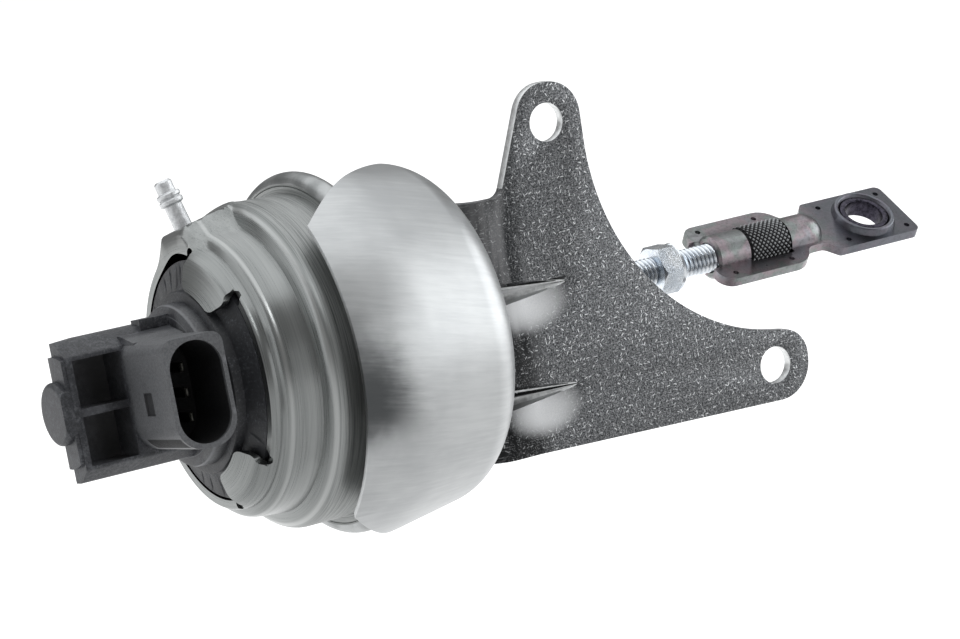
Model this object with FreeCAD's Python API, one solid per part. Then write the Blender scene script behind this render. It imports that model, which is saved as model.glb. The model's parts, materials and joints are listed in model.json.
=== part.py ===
# Turbocharger control module: vacuum actuator with a position sensor, heat shield,
# mounting bracket, threaded rod and adjustable rod end. Millimetres.
# Everything is worked out about the can's axis, with x along the rod, and is then
# moved so that the origin lies midway between the bracket's two holes, on its
# mounting face. +Z is up and -Y looks out of the mounting face.
import FreeCAD
import Part
import math
import os

V = FreeCAD.Vector
X = V(1, 0, 0)
O = V(0, 0, 0)

# Cones that stand for a rounded corner of a turned piece
cones_small = 2
cones_large = 4
cones_from = 3.0            # radius from which a corner counts as large

# Can halves, both pressed from one sheet thickness
sheet = 1.2
rim_r = 35.0
rim_face = 4.9              # front of the flange that the rim clamps
lip_r = rim_r - 3.7
upper_r = rim_r - 5.0
step_r = upper_r - 3.8
mouth_r = step_r - 3.6
rim_round = 1.9
mouth_x = -18.9
mouth_run = 1.6             # length of the slope from the mouth up to the bead
bead_rise = 1.3
bead_width = 1.6
bead_back = 1.0
step_taper = 0.3
shoulder_x = mouth_x + 10.6
shoulder_run = 1.3
lower_r = rim_r - 3.8
lower_end_r = lower_r - 2.6
floor_x = 31.5              # outer face of the lower half's floor
floor_corner = 8.0
rod_hole_r = 6.5

# Tabs of the upper half, bent in over the sensor's flange
tab_count = 3
tab_half = 7.6
tab_tip_r = mouth_r - 4.9
tab_rise = 1.8
tab_corner = 3.4
tab_round = 2.8
relief_r = 1.4
clock = 7.0                 # turn of the sensor about the axis, degrees from -Y to +Z

# Vacuum spigot on the flat of a raised pad
pad_lean = 12.0
pad_turn = 15.0
pad_top_r = upper_r - 1.7
pad_x = mouth_x + 7.1
pad_flat = 7.0
pad_base = pad_flat + 3.4
pad_height = 4.5
spigot_shift = 3.0
tube_r = 1.85
tube_bore = 1.0
tube_length = 6.0
foot_ring = 0.7             # height of the rings at the spigot's foot
barb_r = tube_r + 0.5
barb_length = 1.0
barb_gap = 0.15
tip_r = tube_r - 0.1
tip_length = 2.3
tip_chamfer = 0.3

# Sensor housing
edge_play = 0.2
tab_play = 0.06
flange_r = mouth_r + bead_rise - sheet - edge_play
flange_back = mouth_x + 4.5
flange_lead = 0.3           # start of the flange's edge behind the shell's bead
seal_r = 0.8
seal_x = mouth_x + 2.9
disc_x = mouth_x - 2.6
turret_r = tab_tip_r - 2.3
turret_x = disc_x - 3.1
near = 4.5                  # side of the body that carries the connector
far = -9.0
top = 12.8
low = -13.2
body_long = 22.8
body_end = turret_x - body_long
end_slope = 1.2
far_round = 3.0
top_drop = 2.9
low_drop = 2.4
top_wall = 3.6
low_wall = 3.0
end_wall = 1.3
pocket_depth = 8.0
web = 1.4
boss_r = 5.9
boss_out = 2.3
boss_round = 0.9
plateau_r = 10.4
plateau_out = 0.8
stem_r = 6.6
plunger_play = 0.15
bore_end = turret_x - 7.9

# Connector
socket_x = turret_x - 5.8
socket_r = 5.25
socket_half = 9.35
socket_wall = 0.85
socket_front = 22.3
socket_floor = 7.5
latch_w = 3.4
latch_h = 4.2
latch_depth = 0.45
latch_from_front = 9.4
latch_drop = 1.0
blade_count = 3
blade_pitch = 4.6
blade_w = 1.8
blade_t = 0.8
blade_tip = 16.5
lead_x = socket_x - 4.3
lead_under = 2.0            # how far the leads run below the socket's floor
board_s = -7.2
board_t = 1.0
board_half = 7.5
board_x0 = turret_x - 12.0
board_x1 = turret_x + 3.6
chip_x = turret_x - 0.4
chip_size = 4.0
chip_t = 1.1

# Moving parts inside the can, shown with the rod fully out
stroke = 12.0
rest_gap = 0.5
cup_r = upper_r - 6.0
cup_wall = 1.0
cup_depth = 18.0
plate_r = cup_r - 2.0
plate_t = 1.5
rubber = 1.2
ball_r = 5.0
ball_play = 0.15
hub_r = 8.0
hub_tail_r = 6.4
hub_wall = 1.1
throat_r = 4.2
plunger_r = 4.05
plunger_head = 1.5
magnet_length = 6.0
magnet_x = flange_back - 4.6
spring_wire = 2.2
spring_r = cup_r - 5.4
spring_turns = 5.5

# Heat shield
shield_t = 0.8
shield_front = rim_face - 10.3
shield_front_r = rim_r + 1.7
shield_belly_x = rim_face + 2.6
shield_belly_r = rim_r + 1.4
shield_belly = 60.0         # radius of the bulge along the axis
shield_end_r = lower_end_r + 3.6
shield_corner = 9.4
shield_y = -0.4
shield_z = -0.2
shield_edge_y = 8.0
# Edges of the shield's open side: (x from its front, y, corner), over and under the axis
shield_top_cut = ((-9.0, -26.6, 0), (0.0, -23.6, 7.0), (25.4, -3.5, 12.0))
shield_low_cut = ((-9.0, -28.0, 0), (0.0, -26.6, 3.0), (14.3, -13.0, 14.0), (24.4, 5.0, 3.0))

# Bracket
plate = 2.0
face_y = -13.2
hole_r = 3.75
hole_top = (54.4, 36.7)
hole_side = (102.0, -21.2)
ear_top = 7.7
ear_side = 8.4
sweep_r = 48.0
neck_top = 24.2
neck_low = -26.8
neck_x = 44.0
bend_r = 4.6
foot_y = 17.0
rib_z = (5.6, -14.8)
rib_reach = 57.0
rib_long = 34.0
rib_r = 4.6
rib_wall = 1.5
rib_lean = 5.0
rib_lift = 0.6              # height of a rib's point over the plate's face

# Rod with its hexagon, and rod end
rod_r = 3.0
end_x = 95.9                # where the rod end starts along the rod
rod_tip = end_x + 22.6
rod_lift = 0.6              # lean of the rod in its ball joint, degrees
hex_af = 10.0
hex_x = end_x - 12.5
hex_length = 4.8
hex_face_r = 5.4
hex_face = 0.6
thread_play = 0.06
end_turn = 32.6             # turn of the rod end about the axis, degrees
half_t = 1.0
barrel_bore = 3.2
barrel_wall = 1.25
barrel_x0 = end_x + 1.7
barrel_x1 = end_x + 24.1
tail = 8.0
bore_reach = barrel_x1 + 1.5
wing_x1 = end_x + 21.3
wing_half = 8.85
waist_half = 4.9
eye_x = end_x + 42.0
eye_back = 12.0
eye_front = 9.8
eye_half = 7.8
collar_r = 6.9
collar_rise = 2.2
eye_bore = 5.2
bush_bore = 4.0
bush_half = 2.0
window_x = end_x + 9.5
window_length = 10.6
window_half = 5.3
knurl_r = 4.9
knurl_gap = 0.15

shell_floor = floor_x - sheet
plate_face = shell_floor - rest_gap
rubber_face = plate_face - plate_t
cup_face = rubber_face - rubber
ball_x = cup_face - cup_wall - hub_tail_r * 0.7
hub_x = ball_x - ball_r - ball_play - hub_wall
head_x = hub_x - plunger_head
stem_end = head_x - stroke - 1.5
socket_left = socket_x - socket_r - socket_wall
foot_x = floor_x + shield_t
clamp_x = rim_face + sheet
lower_flange = clamp_x + rubber
origin = V((hole_top[0] + hole_side[0]) / 2, face_y, (hole_top[1] + hole_side[1]) / 2)


def rounded_wire(points, spot):
    """Closed wire through corners (a, b, radius), each with its own tangent arc."""
    corners = []
    for i, (a, b, r) in enumerate(points):
        here = V(a, b, 0)
        before = V(points[i - 1][0], points[i - 1][1], 0)
        after = V(points[(i + 1) % len(points)][0], points[(i + 1) % len(points)][1], 0)
        back = (before - here).normalize()
        on = (after - here).normalize()
        if r <= 0:
            corners.append((here, None, here))
            continue
        half = back.getAngle(on) / 2
        reach = r / math.tan(half)
        middle = here + (back + on).normalize() * (r / math.sin(half) - r)
        corners.append((here + back * reach, middle, here + on * reach))
    edges = []
    for i, (start, middle, end) in enumerate(corners):
        last = corners[i - 1][2]
        if (start - last).Length > 1e-6:
            edges.append(Part.LineSegment(spot(last), spot(start)).toShape())
        if middle is not None:
            edges.append(Part.Arc(spot(start), spot(middle), spot(end)).toShape())
    return Part.Wire(edges)


def band(points, wall):
    """Corners of a strip of even thickness; a positive wall lies to the left of the path."""
    shifted = []
    count = len(points)
    for i, (a, b, r) in enumerate(points):
        normals = []
        steps = []
        for j in (i - 1, i):
            if 0 <= j < count - 1:
                step = V(points[j + 1][0] - points[j][0], points[j + 1][1] - points[j][1], 0).normalize()
                steps.append(step)
                normals.append(V(-step.y, step.x, 0))
        if len(normals) == 1:
            move = normals[0] * wall
            radius = 0
        else:
            move = (normals[0] + normals[1]) * (wall / (1 + normals[0].dot(normals[1])))
            side = 1 if steps[0].cross(steps[1]).z > 0 else -1
            radius = max(r - side * wall, 0) if r > 0 else 0
        shifted.append((a + move.x, b + move.y, radius))
    return list(points) + shifted[::-1]


def turned(points):
    """Solid of revolution about the can's axis from corners (x, r, radius).
    Each rounded corner is turned as a few cones, so that the shells stay light."""
    outline = rounded_wire(points, lambda p: V(p.x, 0, p.y))
    spots = []
    for edge in outline.OrderedEdges:
        ends = [v.Point for v in edge.Vertexes]
        if edge.Orientation == "Reversed":
            ends.reverse()
        if edge.Curve.TypeId == "Part::GeomCircle":
            count = cones_small if edge.Curve.Radius < cones_from else cones_large
            arc = edge.discretize(count + 1)
            if (arc[0] - ends[0]).Length > 1e-6:
                arc.reverse()
            spots += arc[:-1]
        else:
            spots.append(ends[0])
    return Part.Face(Part.makePolygon(spots + spots[:1])).revolve(O, X, 360)


def prism_x(points, x0, x1):
    """Prism along x from corners (s, b, radius), with s along -Y and b along +Z."""
    wire = rounded_wire(points, lambda p: V(x0, -p.x, p.y))
    return Part.Face(wire).extrude(V(x1 - x0, 0, 0))


def prism_y(points, y0, y1):
    wire = rounded_wire(points, lambda p: V(p.x, y0, p.y))
    return Part.Face(wire).extrude(V(0, y1 - y0, 0))


def prism_z(points, z0, z1):
    wire = rounded_wire(points, lambda p: V(p.x, p.y, z0))
    return Part.Face(wire).extrude(V(0, 0, z1 - z0))


def rod_along(r, x0, x1):
    return Part.makeCylinder(r, x1 - x0, V(x0, 0, 0), X)


def tube(r_out, r_in, x0, x1):
    return rod_along(r_out, x0, x1).cut(rod_along(r_in, x0 - 1, x1 + 1))


def block(x0, x1, s0, s1, b0, b1):
    """Box in the sensor's own directions, before it is clocked."""
    return Part.makeBox(x1 - x0, s1 - s0, b1 - b0, V(x0, -s1, b0))


def clocked(shape, degrees):
    moved = shape.copy()
    moved.rotate(O, X, -degrees)
    return moved


def mirrored(points):
    """The corners of one side, then the same on the other side in reverse."""
    return points + [(a, -b, r) for a, b, r in reversed(points)]


def upper_path():
    """Outside of the can's sensor half, from the tabs' tips to the flange in the rim."""
    bead_x = mouth_x + mouth_run
    bead_r = mouth_r + bead_rise
    step_x = bead_x + bead_width + bead_back
    return [
        (mouth_x - tab_rise, tab_tip_r, 0), (mouth_x, mouth_r, 1.2), (bead_x, bead_r, 0.6),
        (bead_x + bead_width, bead_r, 0.5), (step_x, step_r - step_taper, 0.8),
        (shoulder_x, step_r + step_taper, 0.8), (shoulder_x + shoulder_run, upper_r, 2.0),
        (rim_face, upper_r, 1.0), (rim_face, rim_r - rim_round - 0.1, 0),
    ]


def pad_axis():
    lean = math.radians(pad_lean)
    side = math.radians(pad_turn)
    return V(-math.sin(lean), math.cos(lean) * math.sin(side), math.cos(lean) * math.cos(side))


def pad_point(x):
    """Point of the pad's flat over the axis, at x."""
    side = math.radians(pad_turn)
    r = pad_top_r + (x - pad_x) * math.tan(math.radians(pad_lean))
    return V(x, r * math.sin(side), r * math.cos(side))


def pad(gap):
    axis = pad_axis()
    slope = (pad_base - pad_flat) / pad_height
    deep = 2 * pad_height
    foot = pad_point(pad_x) - axis * (deep + gap)
    cone = Part.makeCone(pad_flat + slope * deep - gap, pad_flat - gap * 0.4, deep, foot, axis)
    size = 3 * rim_r
    keep = Part.makeBox(size, size, size, V(mouth_x + gap, -size / 2, -size / 4))
    return cone.common(keep)


def tab_outline():
    """One petal in the y-z plane, pointing at the axis."""
    wide = tab_half
    return [
        (rim_r, -wide, 0), (tab_tip_r + tab_round, -wide, 2.0),
        (tab_tip_r, 0.7 * tab_corner - wide, 0.7 * tab_corner),
        (tab_tip_r, wide - 0.7 * tab_corner, 0.7 * tab_corner),
        (tab_tip_r + tab_round, wide, 2.0), (rim_r, wide, 0),
    ]


def upper_shell():
    path = upper_path()
    skin = turned(band(path, -sheet))
    inner = [p for p in band(path[1:], -sheet)[len(path) - 1:]]
    hollow = turned([(rim_face + sheet, 0, 0)] + inner[1:] + [(inner[-1][0], 0, 0)])
    raised = pad(0).cut(rod_along(mouth_r - sheet, mouth_x - sheet, shoulder_x))
    shell = skin.fuse(raised).cut(hollow).cut(pad(sheet))
    mouth_edge = mouth_x + sheet / 2
    windows = rod_along(rim_r, mouth_x - 2 * tab_rise, mouth_edge).cut(pad(0))
    reliefs = []
    for i in range(tab_count):
        angle = clock + 60 + i * 360 / tab_count
        tab = prism_x(tab_outline(), mouth_x - 3 * tab_rise, mouth_edge + sheet)
        windows = windows.cut(clocked(tab, angle))
        for side in (-1, 1):
            at = V(mouth_x - tab_rise, -mouth_r + sheet / 2, side * (tab_half + relief_r * 0.8))
            relief = Part.makeCylinder(relief_r, tab_rise + 0.75 * mouth_run, at, X)
            reliefs.append(clocked(relief, angle))
    shell = shell.cut(windows)
    for relief in reliefs:
        shell = shell.cut(relief)
    axis = pad_axis()
    seat = pad_point(pad_x - spigot_shift)
    return shell.cut(Part.makeCylinder(tube_r, 10 * sheet, seat - axis * 5 * sheet, axis))


def lower_shell():
    path = [
        (rim_face - sheet, lip_r, 0), (rim_face - sheet, rim_r, rim_round),
        (lower_flange + sheet, rim_r, rim_round), (lower_flange + sheet, lower_r, 1.2),
        (floor_x, lower_end_r, floor_corner), (floor_x, rod_hole_r, 0),
    ]
    return turned(band(path, -sheet))


def diaphragm():
    gap = 0.2
    outer = upper_r - sheet - gap
    crown = rim_face - 3.4
    roll = (outer - cup_r) / 2 - 0.05
    path = [
        (clamp_x, rim_r - rim_round - 0.1, 0), (clamp_x, outer, 0.5), (crown, outer, roll),
        (crown, cup_r, roll), (cup_face, cup_r, 1.2), (cup_face, hub_tail_r, 0),
    ]
    return turned(band(path, rubber))


def vacuum_nipple():
    axis = pad_axis()
    seat = pad_point(pad_x - spigot_shift)
    reach = tube_length
    solid = Part.makeCylinder(tube_r, sheet + reach + barb_gap, seat - axis * sheet, axis)
    inside = seat - axis * (sheet + foot_ring)
    solid = solid.fuse(Part.makeCylinder(tube_r + foot_ring, foot_ring, seat, axis))
    solid = solid.fuse(Part.makeCylinder(tube_r + foot_ring, foot_ring, inside, axis))
    slope = barb_length * 0.35
    for i in range(2):
        foot = seat + axis * (reach + i * (barb_length + barb_gap))
        ridge = Part.makeCone(tip_r, barb_r, slope, foot, axis)
        crest = Part.makeCylinder(barb_r, barb_length - slope, foot + axis * slope, axis)
        solid = solid.fuse(ridge.fuse(crest))
    straight = 2 * barb_length + barb_gap + tip_length
    solid = solid.fuse(Part.makeCylinder(tip_r, straight, seat + axis * reach, axis))
    end = seat + axis * (reach + straight)
    solid = solid.fuse(Part.makeCone(tip_r, tip_r - tip_chamfer, tip_chamfer, end, axis))
    bore = Part.makeCylinder(tube_bore, sheet + 2 * (reach + straight), inside - axis * sheet, axis)
    return solid.cut(bore).removeSplitter()


def lead(i):
    """Bent terminal: board, along under the socket's floor, then up as a blade."""
    b = (i - (blade_count - 1) / 2) * blade_pitch
    under = socket_floor - lead_under
    side = (b - blade_w / 2, b + blade_w / 2)
    down = block(lead_x, lead_x + blade_t, board_s + board_t, under + blade_t, *side)
    along = block(lead_x, socket_x + blade_t / 2, under, under + blade_t, *side)
    up = block(socket_x - blade_t / 2, socket_x + blade_t / 2, under, blade_tip, *side)
    tip = [e for e in up.Edges if abs(e.CenterOfMass.y + blade_tip) < 1e-6]
    up = up.makeChamfer(0.25, tip)
    return down.fuse(along).fuse(up).removeSplitter()


def circuit_board():
    return block(board_x0, board_x1, board_s, board_s + board_t, -board_half, board_half)


def hall_chip():
    half = chip_size / 2
    face = board_s + board_t
    return block(chip_x - half, chip_x + half, face, face + chip_t, -half, half)


def sensor_flange():
    """Round foot of the housing, seated in the mouth: its cone lies under the tabs."""
    rise = tab_rise / (mouth_r - tab_tip_r)
    under = sheet / math.cos(math.atan(rise)) + tab_play
    cone_r = mouth_r - 0.6 * sheet
    cone_x = mouth_x + under - rise * (mouth_r - cone_r)
    disc_r = tab_tip_r - edge_play * 2
    groove = 2 * seal_r
    return turned([
        (flange_back, 0, 0), (flange_back, flange_r, 0), (seal_x + seal_r, flange_r, 0),
        (seal_x + seal_r, flange_r - groove, 0), (seal_x - seal_r, flange_r - groove, 0),
        (seal_x - seal_r, flange_r, 0), (mouth_x + mouth_run + flange_lead, flange_r, 0),
        (cone_x, cone_r, 0), (cone_x - rise * (cone_r - disc_r), disc_r, 0), (disc_x, disc_r, 0.5),
        (disc_x, turret_r, 0), (turret_x, turret_r, 1.0), (turret_x, 0, 0),
    ])


def socket_outline(grow):
    wide = socket_r + grow
    tall = socket_half + grow
    return [
        (socket_x - wide, -tall, wide * 0.97), (socket_x + wide, -tall, wide * 0.97),
        (socket_x + wide, tall, wide * 0.97), (socket_x - wide, tall, wide * 0.97),
    ]


def sensor_housing():
    slab = prism_x([
        (near, top - top_drop, 0.8), (0.7, top, 2.2), (far, top, far_round), (far, low, far_round),
        (1.2, low, 1.6), (near, low + low_drop, 0.8),
    ], body_end, turret_x + 1)
    rear = body_end - far + end_slope
    slope = prism_z([
        (body_end - 1, end_slope, 0), (body_end, end_slope, 0), (rear, -far, 0),
        (rear, 1 - far, 0), (body_end - 1, 1 - far, 0),
    ], low - 1, top + 1)
    body = slab.cut(slope)
    plateau = rod_along(plateau_r, body_end - plateau_out, body_end + 1)
    plateau = plateau.common(block(body_end - 2, body_end + 2, -end_slope, near - 0.2, low, top))
    boss = rod_along(boss_r, body_end - boss_out, body_end + boss_r)
    face = [e for e in boss.Edges if abs(e.CenterOfMass.x - body_end + boss_out) < 1e-6]
    boss = boss.makeFillet(boss_round, face)
    proud = block(body_end - 2 * boss_out, body_end + 2 * boss_r, near - 0.05, near + boss_r, low, top)
    boss = boss.cut(proud)
    body = body.fuse([plateau, boss])
    tall_out = socket_half + socket_wall
    wide_out = socket_r + socket_wall
    round_low = 0.85 * wide_out
    round_top = 0.36 * wide_out
    shroud = prism_y([
        (socket_x - wide_out, -tall_out, round_low), (socket_x + wide_out, -tall_out, round_low),
        (socket_x + wide_out, tall_out, round_top), (socket_x - wide_out, tall_out, round_top),
    ], -socket_front, 1)
    ramp = prism_x([(near + 4.5, tall_out, 0), (near - 1, top - 1.2, 0), (0, top - 1.2, 0), (0, 0, 0),
                    (near + 4.5, 0, 0)], socket_left + 1.0, socket_x + wide_out - 1.0)
    rib = block(socket_left + 6.0, turret_x, -1.5, 2.2, top - 1, top + 0.9)
    body = body.fuse([shroud, ramp, rib, sensor_flange(), rod_along(stem_r, flange_back - 1, stem_end)])
    roof = top - top_wall
    floor = low + low_wall
    pocket = block(body_end + end_wall, socket_left, near - pocket_depth, near + 5, floor, roof)
    mid = (roof + floor) / 2
    pocket = pocket.cut(block(
        body_end, socket_left + 1, near - pocket_depth - 1, near - 0.5, mid - web / 2, mid + web / 2))
    cavity = prism_y(socket_outline(0), -socket_front - 1, -socket_floor)
    latch_s = socket_front - latch_from_front
    latch = block(
        socket_left - 1, socket_left + latch_depth, latch_s - latch_w / 2, latch_s + latch_w / 2,
        -latch_drop - latch_h / 2, -latch_drop + latch_h / 2)
    bore = rod_along(plunger_r + plunger_play, bore_end, stem_end + 1)
    body = body.cut([pocket, cavity, latch, bore])
    return body.cut([circuit_board(), hall_chip()] + [lead(i) for i in range(blade_count)])


def sensor_seal():
    """Ring of six-sided section, between the groove's floor and the can."""
    section = []
    for i in range(6):
        angle = math.radians(60 * i)
        x = seal_x + (seal_r - 0.02) * math.cos(angle)
        section.append((x, flange_r - seal_r + (seal_r - 0.02) * math.sin(angle), 0))
    return turned(section)


def piston_cup():
    path = [
        (cup_face - cup_depth, cup_r, 0), (cup_face, cup_r, 1.2), (cup_face, hub_tail_r, 0),
    ]
    return turned(band(path, -cup_wall))


def piston_plate():
    return tube(plate_r, hub_tail_r, rubber_face, plate_face)


def rod_socket():
    hub = rod_along(hub_r, hub_x, cup_face - cup_wall)
    hub = hub.fuse(rod_along(hub_tail_r, cup_face - cup_wall - 1, plate_face))
    hub = hub.cut(Part.makeSphere(ball_r + ball_play, V(ball_x, 0, 0), X))
    return hub.cut(rod_along(throat_r, ball_x, plate_face + 1))


def sensor_plunger():
    stem = rod_along(plunger_r, magnet_x + magnet_length, hub_x)
    return stem.fuse(rod_along(hub_r - 1, head_x, hub_x)).removeSplitter()


def plunger_magnet():
    return rod_along(plunger_r - 0.25, magnet_x, magnet_x + magnet_length)


def return_spring():
    wire_r = spring_wire / 2
    start = flange_back + wire_r
    end = cup_face - cup_wall - wire_r
    helix = Part.makeHelix((end - start) / spring_turns, end - start, spring_r)
    corners = []
    for i in range(7):
        angle = math.radians(60 * i)
        corners.append(V(spring_r + wire_r * math.cos(angle), 0, wire_r * math.sin(angle)))
    section = Part.makePolygon(corners)
    coil = Part.Wire(helix.Edges).makePipeShell([section], True, True)
    coil.rotate(O, V(0, 1, 0), 90)
    coil.translate(V(start, 0, 0))
    return coil


def heat_shield():
    path = [
        (shield_front, shield_front_r, 0), (shield_belly_x, shield_belly_r, shield_belly),
        (foot_x, shield_end_r, shield_corner), (foot_x, rod_hole_r, 0),
    ]
    cup = turned(band(path, -shield_t))
    cup.translate(V(0, shield_y, shield_z))
    wide = 2 * shield_front_r
    past = foot_x + 2 * shield_t
    behind = [(past, shield_edge_y, 0), (past, wide, 0), (shield_front + shield_top_cut[0][0], wide, 0)]
    above = [(shield_front + x, y, r) for x, y, r in shield_top_cut] + behind
    below = [(shield_front + x, y, r) for x, y, r in shield_low_cut] + behind
    return cup.cut(prism_z(above, 0, wide)).cut(prism_z(below, -wide, 0))


def mounting_bracket():
    right = hole_side[0] + ear_side
    ear_left = hole_top[0] - 4.6
    ear_right = hole_top[0] + ear_top
    ear_high = hole_top[1] + ear_top
    ear_low = hole_side[1] - ear_top
    flat = prism_y([
        (neck_x, neck_low, 0), (right, ear_low, ear_side - 1), (right, hole_side[1] + 5.8, 6.0),
        (ear_right + 1.5, hole_side[1] + 14.0, sweep_r), (ear_right, ear_high, 7.0),
        (ear_left, ear_high, 6.5), (neck_x - 1.9, neck_top, 2.5), (neck_x - 4, neck_top, 0),
        (neck_x - 4, neck_low, 0),
    ], face_y, face_y + plate)
    strip = band([
        (neck_x - 3, face_y, 0), (foot_x, face_y, bend_r + plate), (foot_x, foot_y, 0),
    ], -plate)
    bent = prism_z(strip, neck_low, neck_top)
    foot_mask = prism_x([
        (-foot_y, neck_low, 15), (-foot_y, neck_top, 15), (-face_y, neck_top, 0), (-face_y, neck_low, 0),
    ], foot_x - 1, neck_x + 1)
    solid = flat.fuse(bent.common(foot_mask)).removeSplitter()
    aim = V(-math.cos(math.radians(rib_lean)), math.sin(math.radians(rib_lean)), 0)
    slope = math.atan(rib_r / rib_long)
    back = rib_wall / math.sin(slope)
    outer_long = rib_long + back
    outer_r = outer_long * math.tan(slope)
    for z in rib_z:
        point = V(rib_reach, face_y - rib_lift, z)
        outer = Part.makeCone(0, outer_r, outer_long, point - aim * back, aim)
        corner = V(foot_x + 0.2 * plate, face_y + 0.15 * plate, z - 3 * rib_r)
        behind = Part.makeBox(outer_long, foot_y - face_y, 6 * rib_r, corner)
        solid = solid.fuse(outer.common(behind)).cut(Part.makeCone(0, rib_r, rib_long, point, aim))
    for hole in (hole_top, hole_side):
        solid = solid.cut(Part.makeCylinder(hole_r, plate + 2, V(hole[0], face_y - 1, hole[1]), V(0, 1, 0)))
    return solid.cut(rod_along(rod_hole_r + 1.5, floor_x, neck_x + 10)).removeSplitter()


def on_rod(shape):
    """Lift the rod's pieces with it, about the middle of its ball."""
    moved = shape.copy()
    moved.rotate(V(ball_x, 0, 0), V(0, 1, 0), -rod_lift)
    return moved


def rod():
    shank = rod_along(rod_r, ball_x, rod_tip)
    tip = [e for e in shank.Edges if abs(e.CenterOfMass.x - rod_tip) < 1e-6]
    shank = shank.makeChamfer(0.6, tip)
    return on_rod(shank.fuse(Part.makeSphere(ball_r, V(ball_x, 0, 0), X)).removeSplitter())


def rod_hex():
    """Hexagon fixed on the rod, to hold it while the adjuster is turned."""
    across = hex_af / math.sqrt(3)
    angles = [math.radians(60 * i) for i in range(6)]
    corners = [(across * math.cos(a), across * math.sin(a), 0) for a in angles]
    hexagon = prism_x(corners, hex_x, hex_x + hex_length)
    end = hex_x + hex_length
    eased = turned([
        (hex_x, 0, 0), (hex_x, hex_af / 2, 0), (hex_x + 0.6, across + 0.1, 0),
        (end - 0.6, across + 0.1, 0), (end, hex_af / 2, 0), (end, 0, 0),
    ])
    solid = hexagon.common(eased).fuse(rod_along(hex_face_r, end, end + hex_face))
    return on_rod(solid.cut(rod_along(rod_r, hex_x - 1, end + hex_face + 1)).removeSplitter())


def end_outline():
    eye_x0 = eye_x - eye_back
    return mirrored([
        (end_x, wing_half, 4.2), (wing_x1, wing_half, 5.0), (wing_x1 + 2.8, waist_half, 2.0),
        (eye_x0 - 1.6, waist_half, 1.6), (eye_x0 + 0.8, eye_half, 2.0), (eye_x + eye_front, eye_half, 3.2),
    ])


def rod_end_half():
    half = prism_z(end_outline(), 0, half_t)
    outer_r = barrel_bore + barrel_wall
    barrel = rod_along(outer_r, barrel_x0, barrel_x1)
    barrel = barrel.fuse(Part.makeCone(outer_r, half_t, tail, V(barrel_x1, 0, 0), X))
    barrel = barrel.fuse(Part.makeCone(barrel_bore + 0.3, outer_r, 1.0, V(barrel_x0 - 1.0, 0, 0), X))
    above = Part.makeBox(eye_x, 4 * wing_half, 4 * outer_r, V(end_x - 5, -2 * wing_half, 0))
    half = half.fuse(barrel.common(above))
    collar = Part.makeCone(collar_r, collar_r - 0.6, collar_rise, V(eye_x, 0, half_t), V(0, 0, 1))
    half = half.fuse(collar)
    half = half.cut(rod_along(barrel_bore, end_x - 2, bore_reach))
    half = half.cut(Part.makeCylinder(eye_bore, 4 * outer_r, V(eye_x, 0, -1), V(0, 0, 1)))
    low = V(window_x, -window_half, -2 * outer_r)
    window = Part.makeBox(window_length, 2 * window_half, 4 * outer_r, low)
    return half.cut(window).removeSplitter()


def on_end(shape):
    return on_rod(clocked(shape, -end_turn))


def rod_end_upper():
    return on_end(rod_end_half())


def rod_end_lower():
    return on_end(rod_end_half().mirror(O, V(0, 0, 1)))


def eye_bush():
    outer = Part.makeCylinder(eye_bore, 2 * bush_half, V(eye_x, 0, -bush_half), V(0, 0, 1))
    return on_end(outer.cut(Part.makeCylinder(bush_bore, 10, V(eye_x, 0, -5), V(0, 0, 1))))


def adjuster_nut():
    x0 = window_x + knurl_gap
    x1 = window_x + window_length - knurl_gap
    body = rod_along(knurl_r, x0, x1)
    ends = [e for e in body.Edges if e.Curve.TypeId == "Part::GeomCircle"]
    body = body.makeChamfer(0.5, ends)
    return on_rod(body.cut(rod_along(rod_r + thread_play, x0 - 1, x1 + 1)))


pieces = {
    "upper_shell": upper_shell,
    "lower_shell": lower_shell,
    "vacuum_nipple": vacuum_nipple,
    "sensor_housing": lambda: clocked(sensor_housing(), clock),
    "circuit_board": lambda: clocked(circuit_board(), clock),
    "hall_chip": lambda: clocked(hall_chip(), clock),
    "sensor_seal": sensor_seal,
    "diaphragm": diaphragm,
    "return_spring": return_spring,
    "heat_shield": heat_shield,
    "mounting_bracket": mounting_bracket,
    "piston_cup": piston_cup,
    "piston_plate": piston_plate,
    "rod_socket": rod_socket,
    "sensor_plunger": sensor_plunger,
    "plunger_magnet": plunger_magnet,
    "rod": rod,
    "rod_hex": rod_hex,
    "rod_end_upper": rod_end_upper,
    "rod_end_lower": rod_end_lower,
    "eye_bush": eye_bush,
    "adjuster_nut": adjuster_nut,
}
for number in range(blade_count):
    pieces["terminal_%d" % (number + 1)] = lambda number=number: clocked(lead(number), clock)

os.makedirs("parts", exist_ok=True)
for name, make in pieces.items():
    shape = make()
    shape.translate(-origin)
    if shape.ShapeType == "Compound" and len(shape.Solids) == 1:
        shape = shape.Solids[0]
    box = shape.BoundBox
    print("%-17s solids %d valid %s volume %9.1f  x %.1f..%.1f y %.1f..%.1f z %.1f..%.1f" % (
        name, len(shape.Solids), shape.isValid(), shape.Volume,
        box.XMin, box.XMax, box.YMin, box.YMax, box.ZMin, box.ZMax))
    shape.exportStep("parts/%s.step" % name)
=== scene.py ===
# Turbocharger control module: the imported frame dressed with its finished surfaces
import bmesh
import bpy
import json
import math
from mathutils import Matrix, Vector

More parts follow.
